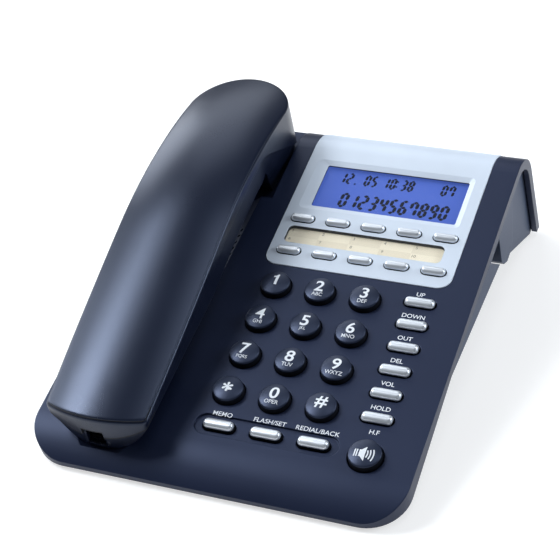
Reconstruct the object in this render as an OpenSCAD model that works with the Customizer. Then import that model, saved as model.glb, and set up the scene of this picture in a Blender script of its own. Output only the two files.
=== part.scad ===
// Corded desk telephone: a sloping base with a display and keys, and a handset lying in a bay on its left.
// Panel frame: x across, y up the slope from the first row of dial keys, z out of the panel.

/* [Base] */
// Width of the base
base_w = 157; // [155:1:160]
// Slope of the panel above the table, in degrees
panel_tilt = 15; // [13:0.5:17]
// From the first row of dial keys to the front edge, along the panel
front_len = 101.2; // [100.6:0.2:102.6]
// From the first row of dial keys to where the crest starts to turn
crest_len = 82; // [81:0.5:88]
// Radius of the crest
crest_r = 22; // [20:0.5:24]
// Lean of the rear leg away from square with the panel, in degrees
rear_lean = 9; // [6:0.5:11]
// Length of the roll-down along the front edge
roll_len = 18.5; // [16:0.5:20]
// Radius of the roll-down
roll_r = 34; // [30:0.5:38]
// Radius of the two front corners
corner_r = 17; // [14:0.5:18]
// Depth of the front rim below the panel
rim_d = 8.2; // [8.2:0.1:9]
// Gap between the front rim and the table
rim_gap = 1.2; // [0.8:0.1:1.6]
// Gap between the tip of the rear leg and the table
rear_gap = 2.5; // [2.1:0.1:3.2]
// Thickness of the panel
skin = 3; // [2.6:0.1:3.2]
// Depth of the edge that runs down each side of the panel, from the side fins back
skirt_d = 4.5; // [4.3:0.1:5.4]
// Thickness of that edge
skirt_t = 2.5; // [2:0.1:3]
// Wall of the bottom cover
wall = 2.2; // [1.8:0.1:2.4]
// Half width of the deep pan in the middle of the bottom cover
pan_hw = 63.5; // [62.5:0.5:64.5]
// Half width of the shallow tray under the keys
tray_hw = 72; // [70:0.5:73]
// Depth of the tray below the panel
tray_d = 12.4; // [12.2:0.1:13.5]
// Step from the side edge in to the rear box
box_inset = 3; // [2.8:0.1:4]
// Height of the rubber feet
foot_h = 1.8; // [1.6:0.1:1.9]
// Diameter of the rubber feet
foot_d = 11; // [8:0.5:14]
// Distance of the feet from the centre line
foot_x = 50; // [46:0.5:54]
// Distance of the feet from the front and rear edges
foot_y = 21; // [20:0.5:26]
// Distance of the right-hand screws from the centre line
screw_x = 52; // [48:0.5:54]
// Diameter of a screw boss
boss_d = 7.6; // [7:0.1:8]

/* [Side fins] */
// From the first row of dial keys to the front tip of a side fin
fin_front = 28; // [24:0.5:34]
// From the first row of dial keys to the front of the short leg
leg_front = 47.5; // [46:0.5:49]
// Fall of a side fin's lower edge, in degrees
fin_fall = 11.3; // [10.5:0.1:12]
// Width of the short leg at its foot
leg_w = 15; // [13:0.5:16]
// Width of the short leg at its top
leg_top_w = 23; // [21:0.5:24]
// Depth of the short leg below the panel
leg_d = 29; // [27:0.5:31]
// Length of the three-cornered notch in front of the short leg
notch_l = 14; // [10:0.5:16]
// Height of the notch
notch_h = 17; // [12:0.5:18]
// Depth of the notch into the side
notch_t = 6.6; // [4:0.1:7]
// From the first row of dial keys to the rear box
box_front = 56; // [55:0.5:58]
// Height of the rear box's lower corner above the table
box_h = 21; // [19:0.5:24]

/* [Handset bay] */
// Middle of the bay and of the handset, from the centre line
bay_x = -46.7; // [-48:0.1:-46.4]
// Half width of the bay
bay_hw = 22.7; // [22.6:0.1:23.2]
// From the first row of dial keys to the front wall of the bay
bay_front = 94; // [93.8:0.1:96]
// Depth of the bay at its front wall
bay_d0 = 3.5; // [3:0.1:4.5]
// Depth of the bay at the crest
bay_d1 = 8.5; // [7:0.1:9]
// Radius of the bay's round floor
bay_r = 24.2; // [24:0.2:26]
// Diameter of a loudspeaker hole
grille_d = 1.6; // [1.2:0.1:2]
// Spacing of the loudspeaker holes
grille_pitch = 3.8; // [3.4:0.1:4.4]
// Diameter of the loudspeaker
speaker_d = 42; // [36:1:44]

/* [Face plate] */
// Left edge of the silver plate, from the centre line
plate_left = -15.2; // [-16:0.1:-14.6]
// Right edge of the silver plate, from the centre line
plate_right = 66.8; // [66.4:0.1:68]
// Lower edge of the silver plate, above the first row of dial keys
plate_low = 11.2; // [10.4:0.1:12]
// Radius of the plate's lower corners
plate_r = 6; // [3:0.5:8]
// Thickness of the plate
plate_t = 1.6; // [1.4:0.1:1.8]
// How far the plate stands above the panel
plate_proud = 0.3; // [0.1:0.05:0.5]
// How far down the back of the crest the plate runs
plate_back = 14; // [8:1:16]
// Width of the display window
lcd_w = 65; // [60:0.5:66]
// Height of the display window
lcd_h = 25; // [22:0.5:26]
// Middle of the display window, above the first row of dial keys
lcd_y = 60.5; // [60:0.25:62]
// Middle of the display window, from the centre line
lcd_x = 26.9; // [26:0.1:28]
// Thickness of the display lens
lens_t = 1.2; // [0.8:0.1:1.3]
// Width of the name card's window
card_w = 69.8; // [60:0.5:72]
// Height of the name card's window
card_h = 9.6; // [8:0.2:10.4]
// Middle of the name card, above the first row of dial keys
card_y = 29.2; // [28.8:0.1:29.4]
// Middle of the name card, from the centre line
card_x = 24.5; // [23.6:0.1:25.4]
// Thickness of the name card
card_t = 0.3; // [0.2:0.05:0.4]

/* [Keys] */
// Middle column of the dial keys, from the centre line
pad_x = 15.1; // [14.4:0.1:15.6]
// Spacing of the dial keys across
dial_px = 19.6; // [18:0.2:20.4]
// Spacing of the dial keys down
dial_py = 18.9; // [17.8:0.1:19.1]
// Diameter of a dial key
dial_d = 12.8; // [11:0.1:13.4]
// Height of a dial key above the panel
dial_h = 3.8; // [3:0.1:4.4]
// Radius of a dial key's domed top
dial_dome = 20; // [16:0.5:28]
// From a dial key's row line down to the middle of its key
dial_drop = 0.9; // [0.4:0.1:1.4]
// Length of a memory key
mem_l = 10.4; // [9:0.2:11.4]
// Width of a memory key
mem_w = 4.2; // [3.6:0.1:4.4]
// Middle column of the memory keys, from the centre line
mem_x = 26; // [25.6:0.1:26.6]
// Spacing of the memory keys
mem_px = 16.04; // [15.8:0.02:16.3]
// Upper row of memory keys, above the first row of dial keys
mem_y1 = 38.7; // [38.4:0.1:39.2]
// Lower row of memory keys, above the first row of dial keys
mem_y0 = 19.7; // [19:0.1:19.9]
// Right column of keys, from the centre line
side_x = 57.3; // [56.8:0.1:57.8]
// Top key of the right column, above the first row of dial keys
side_y = 2; // [1.4:0.1:2.4]
// Spacing of the right column
side_py = 11.9; // [11.6:0.1:12.1]
// Length of a right-column or bottom-row key
side_l = 13.4; // [11:0.2:14]
// Width of a right-column or bottom-row key
side_w = 5; // [4.2:0.1:5.4]
// Height of the silver keys above the panel
pill_h = 2.2; // [1.6:0.1:2.8]
// Middle key of the bottom row, from the centre line
row_x = 17; // [16.4:0.1:17.6]
// Spacing of the bottom row
row_px = 19.7; // [18.8:0.1:20.2]
// Bottom row, below the first row of dial keys
row_y = -74; // [-74.8:0.1:-73.4]
// Length of the trough that the bottom row sits in
trough_l = 60; // [58:0.5:61]
// Width of that trough
trough_w = 9.8; // [9:0.1:10.4]
// Depth of that trough
trough_d = 0.9; // [0.6:0.1:1]
// Diameter of the hands-free key
hf_d = 13.4; // [12:0.1:13.8]
// Hands-free key, from the centre line
hf_x = 58.2; // [57.6:0.1:58.6]
// Hands-free key, below the first row of dial keys
hf_y = -75.5; // [-76.2:0.1:-74.8]
// Gap round the hands-free key
hf_gap = 0.6; // [0.5:0.1:0.8]
// Gap round a key in its hole
key_gap = 0.4; // [0.3:0.05:0.5]
// How far a key's flange reaches past the key
flange_w = 1.3; // [1:0.1:1.5]
// Thickness of the flange
flange_t = 1; // [0.8:0.1:1.2]
// Travel of a key
key_travel = 1.2; // [0.8:0.1:1.4]
// Thickness of the rubber mat's web
mat_t = 0.8; // [0.6:0.1:1.2]
// Height of the rubber domes above the web
dome_h = 1.2; // [0.8:0.1:1.2]
// Thickness of the circuit board
board_t = 1.6; // [1.2:0.2:1.6]

/* [Handset] */
// From the first row of dial keys to the handset's lower end
hs_front = 93.6; // [92:0.2:93.8]
// From the first row of dial keys to the handset's ear end
hs_back = 100.4; // [99:0.2:102]
// Half width at the handset's widest
hs_hw = 23.4; // [22.6:0.1:23.5]
// Where along the panel the handset is widest
hs_wide_y = 7; // [2:1:10]
// Radius of the handset's bowed sides, seen from above
hs_side_r = 3500; // [3000:50:4000]
// Radius of the rounded ear end, seen from above
hs_ear_r = 23.2; // [23:0.1:24]
// Radius of the bowed lower end, seen from above
hs_end_r = 49; // [44:1:60]
// Where the straight of the back meets its curve, along the panel
hs_bend_y = -3.5; // [-6:0.5:0]
// Height of the back there, above the panel
hs_bend_z = 31.5; // [31:0.1:32]
// Slope of the straight, in degrees
hs_slope = 8.95; // [8.6:0.05:9.1]
// Radius of the curve
hs_arc_r = 205; // [198:1:215]
// Radius of the crown across the back
hs_crown_r = 70; // [64:1:90]
// Thickness of the grip
grip_t = 20; // [18:0.5:21]
// Height of the back shell's side wall along the grip
lip_h = 4.6; // [4:0.1:5.2]
// Wall of the handset's shells
hs_wall = 2.2; // [1.8:0.1:2.4]
// Step from the back shell in to the front shell
hs_step = 1.2; // [1.1:0.1:1.5]
// Length of the mouth block
mouth_l = 38; // [34:0.5:40]
// Length of the ear block
ear_l = 42; // [40:0.5:44]
// Diameter of the receiver
earpiece_d = 27; // [24:0.5:27]
// Travel of the hook plunger
hook_travel = 4; // [3:0.1:4.5]

/* [Sockets and cells] */
// Width of the line socket's mouth
line_w = 9.8; // [9:0.1:11]
// Height of the line socket's mouth
line_h = 7; // [6.4:0.1:8]
// Width of a cord socket's mouth
cord_w = 7.8; // [7.2:0.1:8.2]
// Height of a cord socket's mouth
cord_h = 7.6; // [7.2:0.1:8]
// Depth of the sockets
socket_d = 11; // [10:0.5:12]
// Wall round a socket
socket_t = 1; // [0.8:0.1:1.2]
// Diameter of a cell
cell_d = 14.5; // [10.5:0.5:14.5]
// Length of a cell
cell_l = 50.5; // [44.5:0.5:50.5]
// Middle of the cells, from the centre line
cell_x = 10; // [8:0.5:12]
// Middle of the cells, behind the middle of the base
cell_y = 48; // [44:0.5:50]

/* [Hidden] */
$fn = 64;
round_fn = 256;
fine_fn = 720;
// Fit between fixed pieces, room round moving ones, and a length past every edge
fit = 0.1;
clear = 0.3;
past = 1;
deep = 140;

// The panel frame stands above the table so that the front rim clears it
tilt_sin = sin(panel_tilt);
tilt_cos = cos(panel_tilt);
lift = rim_gap + front_len * tilt_sin + rim_d * tilt_cos;
roll_y = front_len - roll_len;
roll_z = -roll_r + sqrt(roll_r * roll_r - roll_len * roll_len);
leg_y = crest_len + crest_r * cos(rear_lean);
leg_z = -crest_r + crest_r * sin(rear_lean);
leg_angle = rear_lean + panel_tilt;
leg_reach = (leg_y * tilt_sin + leg_z * tilt_cos + lift - rear_gap) / cos(leg_angle);
front_edge = -front_len * tilt_cos - roll_z * tilt_sin;
rear_edge = leg_y * tilt_cos - leg_z * tilt_sin + leg_reach * sin(leg_angle);
mid_y = (front_edge + rear_edge) / 2;
// Height in the panel frame of a level plane, and table-frame place of a panel-frame point
function level(z, y) = (z - lift - y * tilt_sin) / tilt_cos;
function table_y(y, z) = y * tilt_cos - z * tilt_sin - mid_y;
function table_z(y, z) = y * tilt_sin + z * tilt_cos + lift;
pan_mid = foot_h + wall / 2;
pan_top = foot_h + wall;

// Heights of the stack of plate, lens, flange, mat and board under the panel
plate_z = plate_proud - plate_t;
lens_z = plate_z - fit;
glass_z = lens_z - lens_t - fit;
flange_z = -skin - clear - flange_t;
dome_z = flange_z - key_travel - clear;
board_z = dome_z - dome_h - mat_t;
glass_lip = 1.6;
glass_t = 2;
card_lip = 0.3;
strip_sink = 0.5;

// The bay's floor falls from its front wall to the crest
bay_pitch = atan((bay_d1 - bay_d0) / (crest_len + bay_front));
function bay_z(y) = -bay_d0 - (y + bay_front) * tan(bay_pitch);
pocket_in = 10;

// Keys: name, place across, place along, length and width; a round key has no length
dial_names = ["1", "2", "3", "4", "5", "6", "7", "8", "9", "star", "0", "hash"];
side_names = ["up_key", "down_key", "out_key", "delete_key", "volume_key", "hold_key"];
row_names = ["memo_key", "flash_key", "redial_key"];
dial_keys = [for (i = [0:11]) [
    str("key_", dial_names[i]),
    pad_x + (i % 3 - 1) * dial_px,
    -dial_drop - floor(i / 3) * dial_py,
    0,
    dial_d]];
mem_keys = [for (i = [0:9]) [
    str("memory_key_", i + 1),
    mem_x + (i % 5 - 2) * mem_px,
    i < 5 ? mem_y1 : mem_y0,
    mem_l,
    mem_w]];
side_keys = [for (i = [0:5]) [side_names[i], side_x, side_y - i * side_py, side_l, side_w]];
row_keys = [for (i = [0:2]) [row_names[i], row_x + (i - 1) * row_px, row_y, side_l, side_w]];
hf_key = ["hands_free_key", hf_x, hf_y, 0, hf_d];
round_keys = concat(dial_keys, [hf_key]);
pill_keys = concat(mem_keys, side_keys, row_keys);
all_keys = concat(round_keys, pill_keys);

// The board reaches past the outermost keys and the display
board_edge = 0.5;
board_x0 = plate_left - board_edge;
board_x1 = max(side_x + side_l / 2, hf_x + hf_d / 2) + flange_w + board_edge;
board_y0 = hf_y - hf_d / 2 - flange_w - board_edge;
board_y1 = lcd_y + lcd_h / 2 + glass_lip + board_edge;
board_low = board_z - board_t;
post_d = 5;
// Where the tray's floor, raised by an inset, comes down to its level front part, just above the pan's floor
tray_low = foot_h + fit;
function tray_y(inset) = (tray_low + inset - lift + (tray_d - inset) * tilt_cos) / tilt_sin;

// Case screws: place across, table-frame place along, top of the screw, and how far it holds in the top cover
screw_d = 3;
screw_head_d = 5.6;
screw_head_h = 1.6;
screw_hold = 3;
screw_in = 11.5;
screw_sink = 2;
screw_x0 = -10;
screw_y0 = -front_len + screw_in;
screw_y1 = board_y1 + boss_d;
screw_z0 = -skin - screw_sink;
screw_z1 = -bay_d1 - 3 * wall;
screws = [
    [screw_x0, table_y(screw_y0, screw_z0), table_z(screw_y0, screw_z0)],
    [screw_x, table_y(screw_y0, screw_z0), table_z(screw_y0, screw_z0)],
    [bay_x - bay_hw / 2, table_y(screw_y1, screw_z1), table_z(screw_y1, screw_z1)],
    [screw_x, table_y(screw_y1, screw_z1), table_z(screw_y1, screw_z1)]];
function screw_seam(s) = s[2] - screw_hold;
function screw_seat(s) = max(foot_h + screw_head_h, screw_seam(s) - 2 * screw_hold);
base_l = rear_edge - front_edge;
feet = [for (s = [-1, 1], e = [-1, 1]) [s * foot_x, e * (base_l / 2 - foot_y)]];

// Loudspeaker, hook and microphone
grille_over = 6;
grille_x = bay_x + bay_hw - speaker_d / 2 + grille_over;
grille_y = 6;
grille_h = bay_d1 + 2 * wall;
cone_h = 3;
magnet_h = 12;
hook_in = 3;
hook_y = crest_len - hook_in;
hook_w = 8;
hook_l = 6;
hook_rim = 2.2;
hook_rim_t = 1.6;
hook_z = bay_z(hook_y) - wall - clear - hook_travel - hook_rim_t;
switch_w = 14;
switch_l = 10;
switch_h = 9;
mic_d = 6;
mic_h = 3;
mic_x = 20;
mic_in = 1.5;

// Line socket against the rear leg, cord socket in the pan's left wall
line_x = -30;
line_y = table_y(leg_y, leg_z) - (skin + fit) / cos(leg_angle)
    + (table_z(leg_y, leg_z) - pan_top - line_h - 2 * socket_t) * tan(leg_angle);
cord_y = -40;

// Cells and their compartment
cell_pitch = cell_d + 0.7;
cell_room = 1.2;
bay_len = cell_l + 2 * cell_room;
bay_wid = 3 * cell_pitch + cell_room;
cell_wall = 1.8;
cell_z = pan_top + clear + cell_d / 2;
cell_top = cell_z + cell_d / 2 + clear;
nub_d = 5.5;
nub_h = 1;

// The handset's back along its length is a straight that runs out over an arc a hair below it
arc_drop = 0.02;
hs_arc_y = hs_bend_y + hs_arc_r * sin(hs_slope);
hs_arc_z = hs_bend_z - hs_arc_r * cos(hs_slope) - arc_drop;
hs_reach = 40;
arc_from = acos((hs_back + hs_reach - hs_arc_y) / hs_arc_r);
function hs_top(y) = y < hs_bend_y
    ? hs_bend_z + (y - hs_bend_y) * tan(hs_slope)
    : hs_arc_z + sqrt(hs_arc_r * hs_arc_r - (y - hs_arc_y) * (y - hs_arc_y));
function hs_low(y) = bay_z(y) + clear;
hs_crown = hs_crown_r - sqrt(hs_crown_r * hs_crown_r - hs_hw * hs_hw);
function hs_seam(y) = hs_top(y) - hs_crown - lip_h;
mouth_y = -hs_front + mouth_l;
ear_y = hs_back - ear_l;
pocket_y = ear_y - pocket_in;
// Underside of the handset: round like the bay up to the middle of the grip, and flat under the ear block
under_r = bay_r - clear;
function hs_rise(x) = under_r - sqrt(under_r * under_r - x * x);
block_lean = 8;
grip_step = 8;
grip_ys = [for (i = [0:grip_step]) mouth_y + block_lean + (ear_y - mouth_y - 2 * block_lean) * i / grip_step];
jack_in = 0.8;
jack_x = bay_x - jack_in;
jack_floor = 3.4;
seam_rise = 5.5;
jack_z = hs_low(-hs_front) + jack_floor + fit + socket_t;
capsule_h = 7;
hs_mic_d = 9.7;
hs_mic_h = 5;
bar_w = 16;
bar_l = 36;
bar_h = 6;
hs_screw_d = 2.6;
hs_screw_head_d = 5;
hs_boss_d = 7;
hs_screw_in = 11;
// Handset screws: place across and along, and how far the underside is higher there than in its middle
hs_screws = [
    [bay_x + hs_screw_in, mouth_y - hs_boss_d, hs_rise(hs_screw_in + hs_screw_head_d / 2)],
    [bay_x, ear_y + past + hs_boss_d / 2, 0]];
function hs_seat(p) = hs_low(p[1]) + p[2] + hs_wall;
earpiece_y = hs_back - hs_step - hs_wall - past - earpiece_d / 2;

plastic = "#23252d";
silver = "#c9d3e0";
ivory = "#e4e0d4";
steel = "#b8bcc4";

// Puts panel-frame shapes at their slope on the table
module on_panel() {
    translate([0, -mid_y, lift]) rotate([panel_tilt, 0, 0]) children();
}

// Extrudes a side view (along the panel, out of the panel) across the base
module across(w, x = 0) {
    translate([x, 0, 0]) rotate([90, 0, 90]) linear_extrude(w, center = true) children();
}

// Extrudes an outline seen square to the panel through everything
module through() {
    translate([0, 0, -deep]) linear_extrude(2 * deep) children();
}

// Side view of the space under the panel, crest and rear leg, drawn in by an inset
module cover_side(inset) {
    r = crest_r - inset;
    foot = [crest_len + r * cos(rear_lean), -crest_r + r * sin(rear_lean)];
    intersection() {
        translate([-roll_y, -roll_r]) circle(roll_r - inset, $fn = round_fn);
        translate([-front_len + inset, -roll_r]) square([roll_len - inset, roll_r + past]);
    }
    translate([-front_len + inset, -deep]) square([roll_len - inset, deep - roll_r]);
    translate([-roll_y, -deep]) square([roll_y + crest_len, deep - inset]);
    translate([crest_len, -crest_r]) circle(r, $fn = round_fn);
    polygon([
        [crest_len, -crest_r],
        foot,
        foot + deep * [sin(rear_lean), -cos(rear_lean)],
        [crest_len, -deep]]);
}

// Outline of the base seen square to the panel, with rounded front corners
module base_plan(inset) {
    hw = base_w / 2 - inset;
    r = corner_r - inset;
    y = -front_len + corner_r;
    translate([-hw, y]) square([2 * hw, 2 * deep]);
    translate([-hw + r, y - r]) square([2 * hw - 2 * r, 2 * r]);
    for (s = [-1, 1]) translate([s * (hw - r), y]) circle(r);
}

// Solid under the panel, inset from its top and from its sides
module under_panel(inset, side) {
    intersection() {
        across(2 * base_w) cover_side(inset);
        through() base_plan(side);
    }
}

// Side view of all that lies below the top cover's edge, which tapers from the front rim to the side fins
module below_edge() {
    polygon([
        [-deep, -deep],
        [-deep, -rim_d],
        [-roll_y, -rim_d],
        [-fin_front, -skirt_d],
        [past - fin_front, -skirt_d],
        [past - fin_front, -deep]]);
    intersection() {
        cover_side(skirt_d);
        translate([-fin_front, -deep]) square(2 * deep);
    }
}

// The handset's bay, or the block that its walls fill when grown: a round trough that ends in a flat pocket
module bay(grow = 0) {
    intersection() {
        across(2 * (bay_hw + grow), bay_x) polygon([
            [-bay_front - grow, -deep],
            [deep, -deep],
            [deep, deep],
            [-bay_front - grow, deep]]);
        union() {
            trough(bay_r + grow);
            across(2 * base_w) polygon([
                [pocket_y - grow, deep],
                [pocket_y - grow, bay_z(pocket_y - grow) - fit - grow],
                [deep, bay_z(deep) - fit - grow],
                [deep, deep]]);
        }
    }
}

// Everything above a round floor about the bay's middle line
module trough(r) {
    translate([bay_x, 0, bay_z(0)]) rotate([90 - bay_pitch, 0, 0]) linear_extrude(4 * deep, center = true) {
        translate([0, bay_r]) circle(r, $fn = round_fn);
        translate([-base_w, bay_r]) square([2 * base_w, deep]);
    }
}

// A pill outline, or a circle where its length is 0
module pill(l, w) {
    if (l > 0) {
        square([l - w, w], center = true);
        for (s = [-1, 1]) translate([s * (l - w) / 2, 0]) circle(d = w);
    } else circle(d = w);
}

// A key's outline, grown all round
module key_outline(k, grow = 0) {
    pill(k[3] > 0 ? k[3] + 2 * grow : 0, k[4] + 2 * grow);
}

// Holes for keys, wider than them by a gap
module key_holes(keys, gap) {
    for (k = keys) translate([k[1], k[2], -skin - past]) linear_extrude(skin + 3 * past) key_outline(k, gap);
}

// Outline of the silver plate, running back past the crest
module plate_plan(grow) {
    x0 = plate_left - grow;
    x1 = plate_right + grow;
    y0 = plate_low - grow;
    r = plate_r + grow;
    translate([x0, y0 + r]) square([x1 - x0, deep]);
    translate([x0 + r, y0]) square([x1 - x0 - 2 * r, 2 * r]);
    for (x = [x0 + r, x1 - r]) translate([x, y0 + r]) circle(r);
}

// The layer between two heights that the silver plate lies in, down to its rear edge
module plate_layer(top, low, grow) {
    intersection() {
        difference() {
            across(2 * base_w) cover_side(-top);
            across(2 * base_w) cover_side(-low);
        }
        translate([0, 0, -plate_back - grow]) linear_extrude(plate_back + grow + 3 * past) plate_plan(grow);
    }
}

// A block in the panel frame, centred on a place and lying between two heights
module block(x, y, w, l, low, top) {
    translate([x - w / 2, y - l / 2, low]) cube([w, l, top - low]);
}

// The display's glass and lens, grown all round
module glass(grow, low, top) {
    side = 2 * (glass_lip + grow);
    block(lcd_x, lcd_y, lcd_w + side, lcd_h + side, low, top);
}

// Panel, front roll, crest and rear leg: one bent moulding with a bay for the handset
module top_cover() color(plastic) difference() {
    union() {
        on_panel() difference() {
            under_panel(0, 0);
            difference() {
                union() {
                    under_panel(skin, skirt_t);
                    across(2 * base_w) below_edge();
                }
                bay(wall);
            }
        }
        for (s = screws) top_boss(s);
    }
    on_panel() {
        bay();
        plate_layer(3 * past, plate_z - fit, fit);
        key_holes(concat(dial_keys, pill_keys), key_gap);
        key_holes([hf_key], hf_gap);
        translate([row_x, row_y, -trough_d]) linear_extrude(trough_d + past) pill(trough_l, trough_w);
        glass(fit, -skin - past, past);
        block(card_x, card_y, card_w + 3 * card_lip, card_h + 3 * card_lip, plate_z - card_t - 2 * fit, past);
        block(bay_x, hook_y, hook_w + 2 * clear, hook_l + 2 * clear, bay_z(hook_y) - 2 * wall, past);
        grille();
    }
    for (s = screws) translate([s[0], s[1], 0]) cylinder(h = s[2], d = screw_d + fit);
    line_mouth(deep);
    translate([-base_w, 0, rear_gap - deep]) cube([2 * base_w, 2 * deep, deep]);
}

// A boss that a case screw bites into, hanging from the panel or from the bay's floor
module top_boss(s) {
    intersection() {
        translate([s[0], s[1], screw_seam(s)]) cylinder(h = deep, d = boss_d);
        on_panel() under_panel(skin - fit, skirt_t);
    }
}

// Holes over the loudspeaker, in staggered columns on the bay's floor
module grille() {
    for (i = [-2:2], j = [-6:6])
        translate([grille_x + i * grille_pitch, grille_y + (j + abs(i % 2) / 2) * grille_pitch, -grille_h])
            cylinder(h = grille_h, d = grille_d, $fn = 24);
}

// Side view of the fin under the side edge and of the short leg at its end
module fin_side() {
    fin_low = -skirt_d - (leg_front + fin_front) * tan(fin_fall);
    polygon([
        [-fin_front, -skirt_d],
        [leg_front, fin_low],
        [leg_front + leg_w / 4, fin_low - (leg_d + fin_low) * 0.6],
        [leg_front + leg_w * 0.6, -leg_d],
        [leg_front + leg_w, -leg_d],
        [leg_front + leg_w * 1.25, -leg_d + leg_w / 6],
        [leg_front + leg_top_w, -skirt_d]]);
}

// Side view of the three-cornered notch in front of the short leg
module notch_side() {
    polygon([
        [leg_front - notch_l, -skirt_d - past],
        [leg_front, -skirt_d - past],
        [leg_front + past, -skirt_d - past - notch_h]]);
}

// Side view of the box behind the short leg
module box_side(inset) {
    box_back = leg_y + past;
    intersection() {
        cover_side(skin + fit);
        polygon([
            [box_front + inset, 0],
            [box_front + inset, level(box_h, box_front) + inset],
            [box_back, level(foot_h, box_back) + inset],
            [deep, level(foot_h, box_back) + inset],
            [deep, 0]]);
    }
}

// Side view of the flat-bottomed pan
module pan_side(inset) {
    y0 = -front_len + skirt_t + fit + past + inset;
    intersection() {
        cover_side(skin + fit);
        polygon([[y0, 0], [y0, level(foot_h + inset, y0)], [deep, level(foot_h + inset, deep)], [deep, 0]]);
    }
}

// Side view of the shallow tray under the keys, back to a place along the panel
module tray_side(inset, back) {
    intersection() {
        cover_side(skin + fit);
        polygon([
            [-front_len, 0],
            [-front_len, level(tray_low + inset, -front_len)],
            [tray_y(inset), -tray_d + inset],
            [back, -tray_d + inset],
            [back, 0]]);
    }
}

// Wedge-shaped lower case: a flat-bottomed pan, a tray under the keys, side fins and a rear box
module bottom_cover() color(plastic) difference() {
    union() {
        on_panel() difference() {
            union() {
                across(2 * pan_hw) pan_side(0);
                tray(0, leg_front);
                across(base_w) fin_side();
                across(base_w - 2 * box_inset) box_side(0);
            }
            across(2 * (pan_hw - wall)) pan_side(wall);
            tray(wall, box_front + wall + past);
            across(base_w - 2 * (box_inset + wall)) box_side(wall);
            for (s = [-1, 1]) across(2 * notch_t, s * base_w / 2) notch_side();
        }
        for (s = screws) translate([s[0], s[1], pan_mid])
            cylinder(h = screw_seam(s) - pan_mid - fit, d = boss_d);
        cell_box(cell_wall, pan_mid, cell_top + cell_wall);
        on_panel() intersection() {
            posts();
            across(2 * pan_hw) pan_side(wall / 2);
        }
    }
    on_panel() bay(wall + fit);
    cell_box(0, foot_h - past, cell_top);
    for (s = screws) translate([s[0], s[1], 0]) {
        cylinder(h = s[2], d = screw_d + fit);
        cylinder(h = screw_seat(s), d = screw_head_d + 2 * clear);
    }
    line_mouth(deep);
    cord_mouth();
}

// The tray, or its hollow, which runs on into the rear box
module tray(inset, back) {
    intersection() {
        across(2 * (tray_hw - inset)) tray_side(inset, back);
        through() base_plan(skirt_t + fit + inset);
    }
}

// The cells' compartment between two heights, grown all round
module cell_box(grow, low, top) {
    translate([cell_x - bay_len / 2 - grow, cell_y - bay_wid / 2 - grow, low])
        cube([bay_len + 2 * grow, bay_wid + 2 * grow, top - low]);
}

// Posts under the circuit board and under the hook switch
module posts() {
    for (x = [board_x0 + post_d, pan_hw - post_d], y = [board_y0 + post_d, 0])
        translate([x, y, -deep]) cylinder(h = deep + board_low, d = post_d);
    block(bay_x, hook_y, switch_w, switch_l, -deep, hook_z - clear - switch_h);
}

// Silver plate round the display and the memory keys, bent over the crest
module face_plate() color(silver) on_panel() difference() {
    plate_layer(plate_proud, plate_z, 0);
    key_holes(mem_keys, key_gap);
    block(lcd_x, lcd_y, lcd_w, lcd_h, plate_z - past, past);
    block(card_x, card_y, card_w, card_h, plate_z - past, past);
}

// Clear window behind the plate's opening
module display_lens() color("#9fb8f0", 0.6) on_panel() glass(0, lens_z - lens_t, lens_z);

// Liquid crystal glass on its light box, standing on the board
module display_module() color("#3f5fd0") on_panel() {
    glass(0, glass_z - glass_t, glass_z);
    glass(-glass_lip, board_z, glass_z - glass_t / 2);
}

// Card for names, in a shallow pocket under the plate
module index_card() color("#efe3c4") on_panel()
    block(card_x, card_y, card_w + 2 * card_lip, card_h + 2 * card_lip,
        plate_z - card_t - fit, plate_z - fit);

// Clear strip over the card, set in the plate's opening
module index_cover() color("#e8e8e8", 0.5) on_panel()
    block(card_x, card_y, card_w - 2 * fit, card_h - 2 * fit, plate_z, plate_proud - strip_sink);

// Circuit board under the keys and the display
module main_board() color("#1f6b3a") on_panel()
    translate([board_x0, board_y0, board_low]) cube([board_x1 - board_x0, board_y1 - board_y0, board_t]);

// Rubber mat with a dome under every key
module key_mat() color("#d8d8d2") on_panel() {
    translate([board_x0 + fit, board_y0 + fit, board_z])
        cube([board_x1 - board_x0 - 2 * fit, mem_y1 + mem_w / 2 + past - board_y0, mat_t]);
    for (k = all_keys) translate([k[1], k[2], board_z])
        cylinder(h = dome_z - board_z, d = k[4] - clear, $fn = 32);
}

// Loudspeaker under the bay's floor: basket and magnet
module speaker() color("#3a3a3e") on_panel()
    translate([grille_x, grille_y, bay_z(grille_y)]) rotate([-bay_pitch, 0, 0]) {
        translate([0, 0, -wall - fit - cone_h]) cylinder(h = cone_h, d = speaker_d);
        translate([0, 0, -wall - fit - magnet_h]) cylinder(h = magnet_h, d = speaker_d / 2);
    }

// Microphone capsule on the pan's floor behind the front edge
module hands_free_microphone() color("#8a8a8e")
    translate([mic_x, screws[0][1] + mic_in, pan_top]) cylinder(h = mic_h, d = mic_d);

// Button in the bay's floor that the handset holds down
module hook_plunger() color("#d0d0d0") on_panel() {
    block(bay_x, hook_y, hook_w, hook_l, hook_z, bay_z(hook_y) - fit);
    block(bay_x, hook_y, hook_w + 2 * hook_rim, hook_l + 2 * hook_rim, hook_z, hook_z + hook_rim_t);
}

// Switch under the plunger, on its post
module hook_switch() color("#2d2d30") on_panel()
    block(bay_x, hook_y, switch_w, switch_l, hook_z - clear - switch_h, hook_z - clear);

// Space inside the line socket, out through the rear leg
module line_mouth(reach) {
    translate([line_x - line_w / 2, line_y - socket_d, pan_top + socket_t])
        cube([line_w, socket_d + reach, line_h]);
}

// Telephone line socket behind the rear leg
module line_jack() color(ivory) difference() {
    intersection() {
        translate([line_x - line_w / 2 - socket_t, line_y - socket_d - socket_t, pan_top])
            cube([line_w + 2 * socket_t, 2 * socket_d, line_h + 2 * socket_t]);
        on_panel() under_panel(skin + fit, skirt_t + fit);
    }
    line_mouth(deep);
}

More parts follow.
